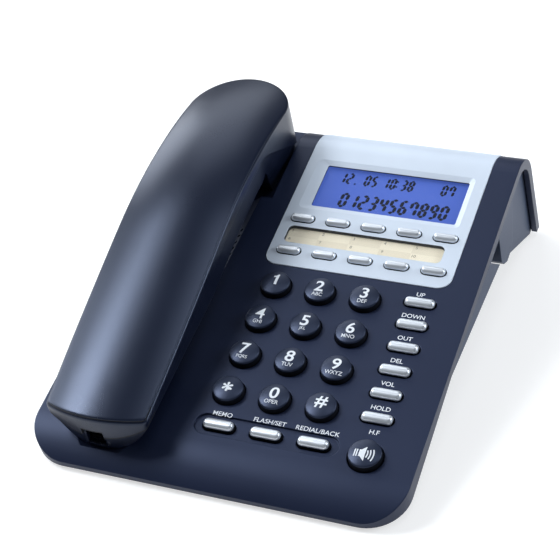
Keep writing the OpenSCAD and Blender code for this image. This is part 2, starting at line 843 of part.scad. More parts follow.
// Space inside the base's cord socket, out through the pan's left wall
module cord_mouth() {
    translate([-pan_hw - past, cord_y - cord_w / 2, pan_top + socket_t])
        cube([wall + fit + socket_d + past, cord_w, cord_h]);
}

// Handset cord socket behind the left wall of the pan
module cord_jack() color(ivory) difference() {
    translate([-pan_hw + wall + fit, cord_y - cord_w / 2 - socket_t, pan_top])
        cube([socket_d + socket_t, cord_w + 2 * socket_t, cord_h + 2 * socket_t]);
    cord_mouth();
}

// Three cells side by side over the door
module batteries() color("#4c6a9c") for (i = [-1:1])
    translate([cell_x - cell_l / 2, cell_y + i * cell_pitch, cell_z]) rotate([0, 90, 0]) {
        cylinder(h = cell_l - nub_h, d = cell_d);
        cylinder(h = cell_l, d = nub_d);
    }

// Door under the cells, flush with the pan
module battery_door() color(plastic) cell_box(-clear, foot_h, pan_top);

// Four feet under the pan
module rubber_feet() color("#3b3b3b") for (f = feet) translate(f) cylinder(h = foot_h, d = foot_d);

// Screws that draw the two covers together
module case_screws() color(steel) for (s = screws) translate([s[0], s[1], screw_seat(s)]) {
    translate([0, 0, -screw_head_h]) cylinder(h = screw_head_h, d = screw_head_d);
    cylinder(h = s[2] - screw_seat(s) - clear, d = screw_d);
}

// A round key with a domed top and a flange under the panel
module round_key(k) color("#1b1d24") on_panel() translate([k[1], k[2], 0]) {
    intersection() {
        translate([0, 0, flange_z]) cylinder(h = dial_h - flange_z, d = k[4]);
        translate([0, 0, dial_h - dial_dome]) sphere(dial_dome, $fn = 128);
    }
    translate([0, 0, flange_z]) linear_extrude(flange_t) key_outline(k, flange_w);
}

// A silver key with a rounded back and a flange under the panel
module pill_key(k) color(silver) on_panel() translate([k[1], k[2], 0]) {
    r = k[4] / 2;
    translate([0, 0, flange_z]) linear_extrude(pill_h - r - flange_z) key_outline(k);
    translate([0, 0, pill_h - r]) rotate([0, 90, 0]) cylinder(h = k[3] - k[4], r = r, center = true);
    for (s = [-1, 1]) translate([s * (k[3] - k[4]) / 2, 0, pill_h - r]) sphere(r);
    translate([0, 0, flange_z]) linear_extrude(flange_t) key_outline(k, flange_w);
}

// Outline of the handset seen square to the panel, drawn in by an inset
module handset_plan(inset) {
    ends = hs_back - hs_ear_r - hs_end_r + hs_front;
    translate([bay_x, 0]) intersection() {
        translate([hs_hw - hs_side_r, hs_wide_y]) circle(hs_side_r - inset, $fn = fine_fn);
        translate([hs_side_r - hs_hw, hs_wide_y]) circle(hs_side_r - inset, $fn = fine_fn);
        union() {
            translate([0, hs_end_r - hs_front]) circle(hs_end_r - inset, $fn = round_fn);
            translate([-2 * hs_hw, hs_end_r - hs_front]) square([4 * hs_hw, ends]);
            translate([0, hs_back - hs_ear_r]) circle(hs_ear_r - inset, $fn = round_fn);
        }
    }
}

// Cross-section under the handset's crowned back, drawn down by an inset
module back_section(inset) {
    intersection() {
        translate([0, -hs_crown_r]) circle(hs_crown_r - inset, $fn = round_fn);
        translate([-2 * hs_hw, -hs_reach]) square([4 * hs_hw, hs_reach + past]);
    }
}

// Everything under the handset's back, down past its underside
module under_back(inset) {
    translate([bay_x, hs_bend_y, hs_bend_z]) rotate([hs_slope + 90, 0, 0]) translate([0, 0, -past])
        linear_extrude(hs_front + 2 * block_lean) back_section(inset);
    translate([bay_x, hs_arc_y, hs_arc_z]) rotate([90, 0, 90]) rotate([0, 0, arc_from])
        rotate_extrude(angle = 90 + hs_slope - arc_from, $fn = round_fn)
            translate([hs_arc_r, 0]) rotate(-90) back_section(inset);
}

// Side view of all that lies above the seam between the handset's shells
module seam_side(shift) {
    polygon(concat(
        [[-deep, deep]],
        [[-hs_front - past, jack_z + cord_h / 2 + shift]],
        [[-hs_front, jack_z + cord_h / 2 + shift]],
        [[seam_rise - hs_front, jack_z + cord_h / 2 + seam_rise + shift]],
        [[mouth_y - block_lean / 2, hs_seam(mouth_y) - past + shift]],
        [for (y = grip_ys) [y, hs_seam(y) + shift]],
        [[hs_back - block_lean, hs_low(hs_back) + hs_wall + shift]],
        [[deep, hs_low(hs_back) + hs_wall + shift], [deep, deep]]));
}

// Side view of all that lies above the handset's underside, raised by an inset
module front_side(inset) {
    polygon(concat(
        [[-deep, deep]],
        [[-deep, hs_low(-deep) - past]],
        [[mouth_y - inset, hs_low(mouth_y) - past]],
        [for (y = grip_ys) [y, hs_top(y) - grip_t + inset]],
        [[ear_y + inset, hs_low(ear_y) + inset]],
        [[deep, hs_low(deep) + inset], [deep, deep]]));
}

// Everything above the handset's round underside, drawn up by an inset, and all of the ear half
module above_under(inset) {
    trough(under_r - inset);
    across(4 * hs_hw, bay_x) translate([hs_arc_y, -deep]) square(2 * deep);
}

// Outer shell of the handset
module handset_back() color(plastic) on_panel() difference() {
    intersection() {
        under_back(0);
        across(4 * hs_hw, bay_x) seam_side(0);
        through() handset_plan(0);
        above_under(0);
    }
    difference() {
        intersection() {
            under_back(hs_wall);
            through() handset_plan(hs_wall);
            above_under(hs_wall);
        }
        handset_bosses();
    }
    handset_screw_holes();
    jack_block(fit);
    jack_mouth();
}

// Inner shell of the handset, with the ear and mouth blocks
module handset_front() color(plastic) on_panel() difference() {
    intersection() {
        through() handset_plan(hs_step);
        across(4 * hs_hw, bay_x) difference() {
            front_side(0);
            seam_side(-fit);
        }
        above_under(0);
    }
    difference() {
        intersection() {
            through() handset_plan(hs_step + hs_wall);
            across(4 * hs_hw, bay_x) front_side(hs_wall);
            above_under(hs_wall);
        }
        handset_bosses();
    }
    handset_screw_holes();
    jack_block(fit);
    jack_mouth();
}

// Columns round the handset's screws, through both shells
module handset_bosses() {
    for (p = hs_screws) translate([p[0], p[1], -deep / 2]) cylinder(h = deep, d = hs_boss_d);
}

// Holes for the handset's screws, with counterbores from below
module handset_screw_holes() {
    for (p = hs_screws) translate([p[0], p[1], hs_seat(p)]) {
        cylinder(h = hs_seam(p[1]) - hs_seat(p), d = hs_screw_d + fit);
        translate([0, 0, -hs_boss_d]) cylinder(h = hs_boss_d, d = hs_screw_head_d + 2 * clear);
    }
}

// Screws that join the handset's shells, one in each block
module handset_screws() color(steel) on_panel() for (p = hs_screws)
    translate([p[0], p[1], hs_seat(p)]) {
        translate([0, 0, -screw_head_h]) cylinder(h = screw_head_h, d = hs_screw_head_d);
        cylinder(h = hs_seam(p[1]) - hs_seat(p) - clear, d = hs_screw_d);
    }

// Outside of the handset's cord socket, grown all round
module jack_block(grow) {
    edge = socket_t + grow;
    intersection() {
        translate([jack_x - cord_w / 2 - edge, -hs_front, jack_z - edge])
            cube([cord_w + 2 * edge, socket_d + edge, cord_h + 2 * edge]);
        through() handset_plan(hs_step + hs_wall + fit - grow);
    }
}

// Space inside the handset's cord socket, out through its lower end
module jack_mouth() {
    translate([jack_x - cord_w / 2, -hs_front - past, jack_z]) cube([cord_w, socket_d + past, cord_h]);
}

// Cord socket in the handset's lower end
module handset_jack() color("#26262a") on_panel() difference() {
    jack_block(0);
    jack_mouth();
}

// A capsule lying on the floor of one of the handset blocks, raised above its middle where the floor is round
module capsule(y, d, h, rise) {
    translate([bay_x, y, hs_low(y)]) rotate([-bay_pitch, 0, 0])
        translate([0, 0, hs_wall + rise + fit]) cylinder(h = h, d = d);
}

// Receiver on the ear block's floor
module earpiece() color("#9a9aa0") on_panel() capsule(earpiece_y, earpiece_d, capsule_h, 0);

// Microphone on the mouth block's floor
module handset_microphone() color("#9a9aa0") on_panel()
    capsule(mouth_y - 2 * hs_mic_d, hs_mic_d, hs_mic_h, hs_rise(hs_mic_d / 2) + fit);

// Steel bar in the grip
module handset_weight() color(steel) on_panel() block(bay_x, hs_arc_y, bar_w, bar_l,
    hs_top(hs_arc_y) - grip_t + hs_wall + fit, hs_top(hs_arc_y) - grip_t + hs_wall + fit + bar_h);

top_cover();
bottom_cover();
face_plate();
display_lens();
display_module();
index_card();
index_cover();
main_board();
key_mat();
speaker();
hands_free_microphone();
hook_plunger();
hook_switch();
line_jack();
cord_jack();
batteries();
battery_door();
rubber_feet();
case_screws();
handset_back();
handset_front();
earpiece();
handset_microphone();
handset_weight();
handset_jack();
handset_screws();
for (k = round_keys) round_key(k);
for (k = pill_keys) pill_key(k);
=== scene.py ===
import math

import bmesh
import bpy
from mathutils import Matrix, Vector


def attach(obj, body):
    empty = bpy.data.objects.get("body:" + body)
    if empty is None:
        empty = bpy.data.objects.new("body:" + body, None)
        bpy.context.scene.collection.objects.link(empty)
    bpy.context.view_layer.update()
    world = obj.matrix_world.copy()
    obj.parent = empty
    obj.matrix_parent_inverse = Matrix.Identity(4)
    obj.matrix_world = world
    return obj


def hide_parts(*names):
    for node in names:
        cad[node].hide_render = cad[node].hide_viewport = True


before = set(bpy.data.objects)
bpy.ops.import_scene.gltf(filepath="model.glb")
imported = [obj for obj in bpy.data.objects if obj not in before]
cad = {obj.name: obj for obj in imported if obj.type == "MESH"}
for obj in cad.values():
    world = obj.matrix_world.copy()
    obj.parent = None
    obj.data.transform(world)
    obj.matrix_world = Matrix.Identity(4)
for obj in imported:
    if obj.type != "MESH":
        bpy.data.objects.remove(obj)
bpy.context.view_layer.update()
MM = 0.001

# The studio: a white table top that runs out of sight, eight soft boxes that light mostly from the left and from
# behind, and a dim pale room. The camera stands over the front right corner of the telephone.
scene = bpy.context.scene
scene.view_settings.view_transform = "Standard"

camera_place = (0.21629308, -0.50892520, 0.39888339)
camera_right = (0.93033978, 0.35962930, -0.07165650)
camera_up = (-0.14479337, 0.53980022, 0.82924701)
camera_back = (0.33690172, -0.76110610, 0.55426956)
camera_lens = bpy.data.cameras.new("camera")
camera_lens.lens = 100.1
camera_lens.sensor_width = 36
camera_lens.clip_end = 20
camera = bpy.data.objects.new("camera", camera_lens)
camera_turn = Matrix((camera_right, camera_up, camera_back)).transposed().to_4x4()
camera.matrix_world = Matrix.Translation(camera_place) @ camera_turn
scene.collection.objects.link(camera)
scene.camera = camera

lamp_white, window_white = (0.92, 0.96, 1), (0.86, 0.93, 1)
telephone_middle = (0, 0, 0.05)
soft_boxes = (
    ("left", (-0.95, -0.13, 1.18), telephone_middle, 0.45, 0.45, 12.5, lamp_white),
    ("over", (-0.42, 0.8, 1.05), telephone_middle, 0.5, 0.5, 1.3, lamp_white),
    ("high", (-0.7, 0.12, 1.25), telephone_middle, 0.38, 0.38, 2.4, lamp_white),
    ("top", (0.3, 0.05, 1.4), telephone_middle, 0.5, 0.5, 2.5, lamp_white),
    ("low", (-1.15, 0.05, 0.45), telephone_middle, 0.5, 0.6, 5, lamp_white),
    ("back", (-0.99, 0.8, 0.68), (-0.05, 0, 0.06), 0.55, 0.55, 5, lamp_white),
    ("rear", (-0.5, 1.1, 0.75), (0, 0, 0.06), 0.5, 0.4, 1.2, lamp_white),
    ("right", (1.0, 0.35, 0.55), (0.05, 0, 0.04), 0.5, 0.5, 7, window_white),
)


def soft_box(name, place, aim, width, height, watts, colour):
    """A soft box at a place, in metres, turned towards its aim."""
    lamp = bpy.data.lights.new("soft_box_" + name, "AREA")
    lamp.shape = "RECTANGLE"
    lamp.size = width
    lamp.size_y = height
    lamp.energy = watts
    lamp.color = colour
    box = bpy.data.objects.new("soft_box_" + name, lamp)
    box.location = place
    box.rotation_euler = (Vector(place) - Vector(aim)).to_track_quat("Z", "Y").to_euler()
    scene.collection.objects.link(box)


for box in soft_boxes:
    soft_box(*box)

room_colour, room_strength = (0.85, 0.92, 1, 1), 0.16
room = bpy.data.worlds.new("pale_room")
room.use_nodes = True
room_light = room.node_tree.nodes["Background"]
room_light.inputs["Color"].default_value = room_colour
room_light.inputs["Strength"].default_value = room_strength
scene.world = room


def make_object(name, work, materials, sharp=None):
    """An object from a finished mesh. Where an angle is given, in degrees, it is smooth but for sharper edges."""
    mesh = bpy.data.meshes.new(name)
    work.to_mesh(mesh)
    work.free()
    for material in materials:
        mesh.materials.append(material)
    if sharp is not None:
        mesh.shade_smooth()
        mesh.set_sharp_from_angle(angle=math.radians(sharp))
    made = bpy.data.objects.new(name, mesh)
    scene.collection.objects.link(made)
    return made


table_reach, table_colour, table_glow_strength = 4, (0.55, 0.55, 0.55, 1), 0.62
table_white = bpy.data.materials.new("table_white")
table_white.use_nodes = True
table_nodes = table_white.node_tree.nodes
table_link = table_white.node_tree.links.new
table_shader = table_nodes["Principled BSDF"]
table_shader.inputs["Base Color"].default_value = table_colour
table_shader.inputs["Roughness"].default_value = 0.8
table_shader.inputs["Specular IOR Level"].default_value = 0.1
table_ray = table_nodes.new("ShaderNodeLightPath")
table_seen = table_ray.outputs["Is Camera Ray"]
for ray in ("Is Glossy Ray", "Is Transmission Ray"):
    table_either = table_nodes.new("ShaderNodeMath")
    table_either.operation = "MAXIMUM"
    table_link(table_seen, table_either.inputs[0])
    table_link(table_ray.outputs[ray], table_either.inputs[1])
    table_seen = table_either.outputs["Value"]
table_lift = table_nodes.new("ShaderNodeMath")
table_lift.operation = "MULTIPLY"
table_lift.inputs[1].default_value = table_glow_strength
table_link(table_seen, table_lift.inputs[0])
table_glow = table_nodes.new("ShaderNodeEmission")
table_link(table_lift.outputs["Value"], table_glow.inputs["Strength"])
table_add = table_nodes.new("ShaderNodeAddShader")
table_link(table_shader.outputs["BSDF"], table_add.inputs[0])
table_link(table_glow.outputs["Emission"], table_add.inputs[1])
table_link(table_add.outputs["Shader"], table_nodes["Material Output"].inputs["Surface"])
table_work = bmesh.new()
bmesh.ops.create_grid(table_work, x_segments=4, y_segments=4, size=table_reach)
table = make_object("table_top", table_work, [table_white])

# Bottom cover: the wedge-shaped lower case with its side fins and rear box, in grained plastic whose colour is set a
# good deal lighter and bluer than the top cover's. Four screws from below draw the two together.


def grain_group():
    """Fine moulded grain: a small change of colour and roughness, and a height for the surface's bump."""
    fine_detail, cloud_detail = 2, 4
    darkest, lightest = 0.9, 1.1
    smoothest, roughest = 0.82, 1.18
    group = bpy.data.node_groups.new("moulded_grain", "ShaderNodeTree")
    for side, sockets in (("INPUT", ("Colour", "Roughness", "Grain", "Cloud")),
                          ("OUTPUT", ("Colour", "Roughness", "Height"))):
        for socket in sockets:
            kind = "NodeSocketColor" if socket == "Colour" else "NodeSocketFloat"
            group.interface.new_socket(socket, in_out=side, socket_type=kind)
    made = group.nodes
    link = group.links.new
    given = made.new("NodeGroupInput")
    result = made.new("NodeGroupOutput")
    place = made.new("ShaderNodeTexCoord")
    fine = made.new("ShaderNodeTexNoise")
    fine.inputs["Detail"].default_value = fine_detail
    link(place.outputs["Object"], fine.inputs["Vector"])
    link(given.outputs["Grain"], fine.inputs["Scale"])
    cloud = made.new("ShaderNodeTexNoise")
    cloud.inputs["Detail"].default_value = cloud_detail
    link(place.outputs["Object"], cloud.inputs["Vector"])
    link(given.outputs["Cloud"], cloud.inputs["Scale"])
    shade = made.new("ShaderNodeMapRange")
    shade.inputs["To Min"].default_value = darkest
    shade.inputs["To Max"].default_value = lightest
    link(cloud.outputs["Fac"], shade.inputs["Value"])
    tint = made.new("ShaderNodeVectorMath")
    tint.operation = "SCALE"
    link(given.outputs["Colour"], tint.inputs[0])
    link(shade.outputs["Result"], tint.inputs["Scale"])
    link(tint.outputs["Vector"], result.inputs["Colour"])
    mixed = made.new("ShaderNodeMath")
    mixed.operation = "ADD"
    link(fine.outputs["Fac"], mixed.inputs[0])
    link(cloud.outputs["Fac"], mixed.inputs[1])
    rough = made.new("ShaderNodeMapRange")
    rough.inputs["From Max"].default_value = 2
    rough.inputs["To Min"].default_value = smoothest
    rough.inputs["To Max"].default_value = roughest
    link(mixed.outputs["Value"], rough.inputs["Value"])
    roughness = made.new("ShaderNodeMath")
    roughness.operation = "MULTIPLY"
    link(given.outputs["Roughness"], roughness.inputs[0])
    link(rough.outputs["Result"], roughness.inputs[1])
    link(roughness.outputs["Value"], result.inputs["Roughness"])
    link(fine.outputs["Fac"], result.inputs["Height"])
    return group


moulded_grain = grain_group()
grain_height, edge_samples = 0.0004, 6


def moulded(name, colour, roughness, grain=2600, depth=0.06, cloud=30, metallic=0.0, soft_edge=0.0, specular=0.5,
            sheen=(1, 1, 1)):
    """A material with the moulded grain on it, a tinted sheen, and edges that catch the light over soft_edge mm."""
    material = bpy.data.materials.new(name)
    material.use_nodes = True
    made = material.node_tree.nodes
    link = material.node_tree.links.new
    shader = made["Principled BSDF"]
    shader.inputs["Metallic"].default_value = metallic
    shader.inputs["Specular IOR Level"].default_value = specular
    shader.inputs["Specular Tint"].default_value = (*sheen, 1)
    surface = made.new("ShaderNodeGroup")
    surface.node_tree = moulded_grain
    surface.inputs["Colour"].default_value = (*colour, 1)
    surface.inputs["Roughness"].default_value = roughness
    surface.inputs["Grain"].default_value = grain
    surface.inputs["Cloud"].default_value = cloud
    link(surface.outputs["Colour"], shader.inputs["Base Color"])
    link(surface.outputs["Roughness"], shader.inputs["Roughness"])
    bump = made.new("ShaderNodeBump")
    bump.inputs["Strength"].default_value = depth
    bump.inputs["Distance"].default_value = grain_height
    link(surface.outputs["Height"], bump.inputs["Height"])
    link(bump.outputs["Normal"], shader.inputs["Normal"])
    if soft_edge:
        edge = made.new("ShaderNodeBevel")
        edge.samples = edge_samples
        edge.inputs["Radius"].default_value = soft_edge * MM
        link(edge.outputs["Normal"], bump.inputs["Normal"])
    return material


def dress(material, *names):
    """Gives CAD nodes a material."""
    for name in names:
        cad[name].data.materials.clear()
        cad[name].data.materials.append(material)


navy_sheen = (0.54, 0.65, 1)
lower_plastic = moulded("lower_plastic", (0.048, 0.064, 0.105), 0.5, soft_edge=0.6, specular=0.3,
                        sheen=navy_sheen)
dress(lower_plastic, "bottom_cover")

# Feet, battery door, cells, screws and the two sockets: the small fittings of the bottom cover. Soft rubber pads, a
# snap door in the case's plastic over the sleeved cells, plated screws, and ivory sockets in its walls.
case_plastic = moulded("case_plastic", (0.008, 0.0125, 0.034), 0.42, soft_edge=0.6, sheen=navy_sheen)
screw_steel = moulded("screw_steel", (0.56, 0.57, 0.6), 0.35, grain=900, metallic=1)
dress(moulded("foot_rubber", (0.02, 0.02, 0.022), 0.8, grain=1500, depth=0.2), "rubber_feet")
dress(case_plastic, "battery_door")
dress(moulded("cell_sleeve", (0.08, 0.14, 0.32), 0.3, cloud=80), "batteries")
dress(screw_steel, "case_screws")
dress(moulded("ivory_plastic", (0.72, 0.68, 0.58), 0.45), "line_jack", "cord_jack")

# Board, mat, loudspeaker, microphone and hook switch: the works between the two covers. A green lacquered board
# carries a rubber mat with one dome a key; the loudspeaker and the switch stand under the handset's bay.
capsule_tin = moulded("capsule_tin", (0.5, 0.5, 0.53), 0.3, metallic=1)
dress(moulded("board_lacquer", (0.02, 0.15, 0.06), 0.3, grain=600, cloud=120), "main_board")
dress(moulded("mat_rubber", (0.55, 0.55, 0.52), 0.7), "key_mat")
dress(moulded("speaker_black", (0.03, 0.03, 0.034), 0.5), "speaker")
dress(capsule_tin, "hands_free_microphone")
dress(moulded("switch_black", (0.02, 0.02, 0.022), 0.5), "hook_switch")
dress(moulded("plunger_white", (0.6, 0.6, 0.6), 0.4), "hook_plunger")

# Top cover: the sloping panel, front roll, crest and rear leg in one bent moulding, with the handset's bay and
# the holes for the keys. Grained navy-black plastic, the same as the battery door's.
dress(case_plastic, "top_cover")

# Face plate: a thin silver-painted plate round the display, the name card and the memory keys, bent over the
# crest and let into the top cover. Its display window has a sloping frame. The paint is satin with a fine flake.
silver_paint = moulded("silver_paint", (0.64, 0.71, 0.81), 0.42, grain=4000, depth=0.03, metallic=0.1)
# plate_shadow is painted shade for the walls of the plate's openings.
plate_shadow = moulded("plate_shadow", (0.02, 0.024, 0.035), 0.6)
panel_tilt, panel_lift, panel_shift = math.radians(15), 35.313, 13.622
plate_left, plate_right, plate_low, plate_corner = -15.2, 66.8, 11.2, 6.0
plate_top, plate_under, plate_broken_edge = 0.3, -1.3, 0.22
crest_line, crest_radius, plate_tail = 82.0, 22.0, math.radians(69)
display_x, display_y, display_w, display_h, display_corner = 26.9, 60.5, 65.0, 25.0, 0.8
frame_left, frame_drop, frame_w, frame_h, frame_corner, frame_depth = 1.3, 0.3, 72.6, 30.6, 2.5, -0.8
card_x, card_y, card_w, card_h, card_corner = 24.5, 29.2, 69.8, 9.6, 2.4
memory_x, memory_pitch, memory_rows, memory_columns = 26.0, 16.04, (38.7, 19.7), 5
memory_l, memory_w, memory_room = 10.4, 4.2, 0.8
plate_corner_steps, box_corner_steps, pill_end_steps, bend_steps = 8, 6, 10, 18


def on_panel(x, y, z=0.0):
    """A place on the panel, in millimetres across, up the slope and out of it, as a point of the telephone."""
    return Vector((x,
                   y * math.cos(panel_tilt) - z * math.sin(panel_tilt) - panel_shift,
                   y * math.sin(panel_tilt) + z * math.cos(panel_tilt) + panel_lift)) * MM


def arc(x, y, r, start, end, steps):
    """Places along an arc, in degrees."""
    turns = [math.radians(start + (end - start) * i / steps) for i in range(steps + 1)]
    return [(x + r * math.cos(t), y + r * math.sin(t)) for t in turns]


def rounded_box(x, y, w, h, r):
    """Outline of a box with rounded corners."""
    loop = []
    for sx, sy, start in ((1, -1, -90), (1, 1, 0), (-1, 1, 90), (-1, -1, 180)):
        loop += arc(x + sx * (w / 2 - r), y + sy * (h / 2 - r), r, start, start + 90, box_corner_steps)
    return loop


def pill(x, y, length, width):
    """Outline of a pill lying across the panel."""
    reach = (length - width) / 2
    return (arc(x + reach, y, width / 2, -90, 90, pill_end_steps)
            + arc(x - reach, y, width / 2, 90, 270, pill_end_steps))


plate_work = bmesh.new()


def plate_loop(loop, height):
    """A closed line of edges on the plate; returns its corners."""
    corners = [plate_work.verts.new((x, y, height)) for x, y in loop]
    for one, other in zip(corners, corners[1:] + corners[:1]):
        plate_work.edges.new((one, other))
    return corners


def plate_wall(upper, lower_loop, height, dark=False):
    """A strip of faces from one closed line down to another, in painted shade if dark; returns the lower corners."""
    lower = [plate_work.verts.new((x, y, height)) for x, y in lower_loop]
    for i in range(len(upper)):
        j = (i + 1) % len(upper)
        plate_work.faces.new((upper[i], upper[j], lower[j], lower[i])).material_index = int(dark)
    return lower


plate_outline = (arc(plate_left + plate_corner, plate_low + plate_corner, plate_corner, 180, 270, plate_corner_steps)
                 + arc(plate_right - plate_corner, plate_low + plate_corner, plate_corner, 270, 360,
                       plate_corner_steps)
                 + [(plate_right, crest_line), (plate_left, crest_line)])
frame_outline = rounded_box(display_x - frame_left, display_y - frame_drop, frame_w, frame_h, frame_corner)
window_outline = rounded_box(display_x, display_y, display_w, display_h, display_corner)
card_outline = rounded_box(card_x, card_y, card_w, card_h, card_corner)
memory_places = [(memory_x + (column - memory_columns // 2) * memory_pitch, row)
                 for row in memory_rows for column in range(memory_columns)]
memory_outlines = [pill(x, y, memory_l + memory_room, memory_w + memory_room) for x, y in memory_places]
plate_edge = plate_loop(plate_outline, plate_top)
plate_holes = [plate_loop(loop, plate_top) for loop in (frame_outline, card_outline, *memory_outlines)]
bmesh.ops.triangle_fill(plate_work, edges=plate_work.edges[:], use_beauty=True)
window_edge = plate_wall(plate_holes[0], window_outline, frame_depth)
# Below the sloping frame, and in the card window and the key holes, the walls are painted in shade.
plate_wall(window_edge, window_outline, plate_under, dark=True)
for corners, loop in zip(plate_holes[1:], (card_outline, *memory_outlines)):
    plate_wall(corners, loop, plate_under, dark=True)
plate_rim = [plate_edge[-1], *plate_edge[:-2], plate_edge[-2]]
plate_skirt = [plate_work.verts.new((v.co.x, v.co.y, plate_under)) for v in plate_rim]
for i in range(len(plate_rim) - 1):
    plate_work.faces.new((plate_rim[i + 1], plate_rim[i], plate_skirt[i], plate_skirt[i + 1]))
bend_rows = [[plate_edge[-1], plate_edge[-2], plate_skirt[0], plate_skirt[-1]]]
for i in range(1, bend_steps + 1):
    along = crest_line + crest_radius * plate_tail * i / bend_steps
    bend_rows.append([plate_work.verts.new((x, along, z))
                      for z in (plate_top, plate_under) for x in (plate_left, plate_right)])
for here, there in zip(bend_rows, bend_rows[1:]):
    plate_work.faces.new((here[0], here[1], there[1], there[0]))
    plate_work.faces.new((here[2], here[0], there[0], there[2]))
    plate_work.faces.new((here[1], here[3], there[3], there[1]))
plate_work.faces.new((bend_rows[-1][0], bend_rows[-1][1], bend_rows[-1][3], bend_rows[-1][2]))
for v in plate_work.verts:
    turn = max(0.0, v.co.y - crest_line) / crest_radius
    out = crest_radius + v.co.z
    if turn > 0:
        v.co = on_panel(v.co.x, crest_line + out * math.sin(turn), out * math.cos(turn) - crest_radius)
    else:
        v.co = on_panel(*v.co)
bmesh.ops.recalc_face_normals(plate_work, faces=plate_work.faces[:])
silver_plate = make_object("silver_plate", plate_work, [silver_paint, plate_shadow], sharp=8)
plate_bevel = silver_plate.modifiers.new("broken_edges", "BEVEL")
plate_bevel.width = plate_broken_edge * MM
plate_bevel.segments = 2
plate_bevel.limit_method = "ANGLE"
plate_bevel.angle_limit = math.radians(50)
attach(silver_plate, "base")
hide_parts("face_plate")

# Display: a liquid crystal glass on a light box that shines blue through it, with dark seven-stroke figures, behind
# a clear window let into the plate from below.
display_tint, display_strength, display_cloud_scale = (0.03, 0.06, 0.25, 1), 0.48, 25
display_shades = ((0.3, (0.085, 0.16, 0.64, 1)), (0.7, (0.11, 0.2, 0.74, 1)))
display_blue = bpy.data.materials.new("display_blue")
display_blue.use_nodes = True
display_nodes = display_blue.node_tree.nodes
display_link = display_blue.node_tree.links.new
display_shader = display_nodes["Principled BSDF"]
display_shader.inputs["Base Color"].default_value = display_tint
display_shader.inputs["Roughness"].default_value = 0.35
display_shader.inputs["Specular IOR Level"].default_value = 0.1
display_shader.inputs["Emission Strength"].default_value = display_strength
display_place = display_nodes.new("ShaderNodeTexCoord")
display_cloud = display_nodes.new("ShaderNodeTexNoise")
display_cloud.inputs["Scale"].default_value = display_cloud_scale
display_link(display_place.outputs["Object"], display_cloud.inputs["Vector"])
display_ramp = display_nodes.new("ShaderNodeValToRGB")
for stop, (position, colour) in zip(display_ramp.color_ramp.elements, display_shades):
    stop.position = position
    stop.color = colour
display_link(display_cloud.outputs["Fac"], display_ramp.inputs["Fac"])
display_link(display_ramp.outputs["Color"], display_shader.inputs["Emission Color"])
dress(display_blue, "display_module")


def clear_plastic(name, tint, alpha):
    """A clear window: nearly nothing but its gloss."""
    material = moulded(name, tint, 0.08, grain=500, depth=0.0)
    material.node_tree.nodes["Principled BSDF"].inputs["Alpha"].default_value = alpha
    return material


window_alpha = 0.015
dress(clear_plastic("display_window", (0.5, 0.6, 0.9), window_alpha), "display_lens")

figure_strokes = {"0": "abcdef", "1": "bc", "2": "abged", "3": "abgcd", "4": "fgbc", "5": "afgcd", "6": "afgedc",
                  "7": "abcf", "8": "abcdefg", "9": "abcdfg"}
glass_height, bar_gap = -2.66, 0.06
figure_lean = math.tan(math.radians(4))
number, number_left, number_pitch, number_low = "01234567890", -22.3, 4.55, -9.7
number_w, number_h, number_bar = 3.9, 9.0, 1.5
clock_figures = (("1", -26.0), ("2", -22.8), ("0", -14.6), ("5", -11.4), ("1", -6.0), ("0", -2.8), ("3", 2.2),
                 ("8", 5.4), ("0", 20.6), ("7", 23.9))
clock_low, clock_w, clock_h, clock_bar = 4.5, 2.8, 7.0, 1.15
clock_dots, dot = ((-18.6, 4.7), (0.2, 9.3), (0.2, 6.2)), 0.8
figure_points = []
figure_faces = []


def piece(name, points, faces, material, body, smooth=True):
    """A mesh of panel places that rides on a body."""
    mesh = bpy.data.meshes.new(name)
    mesh.from_pydata([on_panel(*p) for p in points], [], faces)
    mesh.materials.append(material)
    if smooth:
        mesh.shade_smooth()
    made = bpy.data.objects.new(name, mesh)
    scene.collection.objects.link(made)
    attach(made, body)
    return made


def figure_stroke(outline, low):
    """One bar of a figure, leaning a little to the right."""
    start = len(figure_points)
    figure_points.extend((display_x + x + (y - low) * figure_lean, display_y + y, glass_height) for x, y in outline)
    figure_faces.append(tuple(range(start, start + len(outline))))


def figure(sign, left, low, w, h, t):
    """A seven-stroke figure from its lower left corner, with bars t thick that taper where they meet."""
    gap, tip, half = bar_gap * t, t / 2, h / 2
    for stroke in figure_strokes[sign]:
        if stroke in "adg":
            y = low + {"d": tip, "g": half, "a": h - tip}[stroke]
            x0, x1 = left + gap + tip, left + w - gap - tip
            bar = [(x0, y), (x0 + tip, y - tip), (x1 - tip, y - tip), (x1, y), (x1 - tip, y + tip),
                   (x0 + tip, y + tip)]
        else:
            upper = stroke in "bf"
            x = left + (tip if stroke in "ef" else w - tip)
            y0 = low + (half if upper else 0) + gap + (0 if upper else tip)
            y1 = low + (h if upper else half) - gap - (tip if upper else 0)
            bar = [(x, y0), (x + tip, y0 + tip), (x + tip, y1 - tip), (x, y1), (x - tip, y1 - tip),
                   (x - tip, y0 + tip)]
        figure_stroke(bar, low)


for i, sign in enumerate(number):
    figure(sign, number_left + number_pitch * i, number_low, number_w, number_h, number_bar)
for sign, left in clock_figures:
    figure(sign, left, clock_low, clock_w, clock_h, clock_bar)
for left, low in clock_dots:
    figure_stroke([(left, low), (left + dot, low), (left + dot, low + dot), (left, low + dot)], low)
figure_black = moulded("figure_black", (0.003, 0.004, 0.012), 0.6, specular=0.1)
piece("display_figures", figure_points, figure_faces, figure_black, "base", smooth=False)

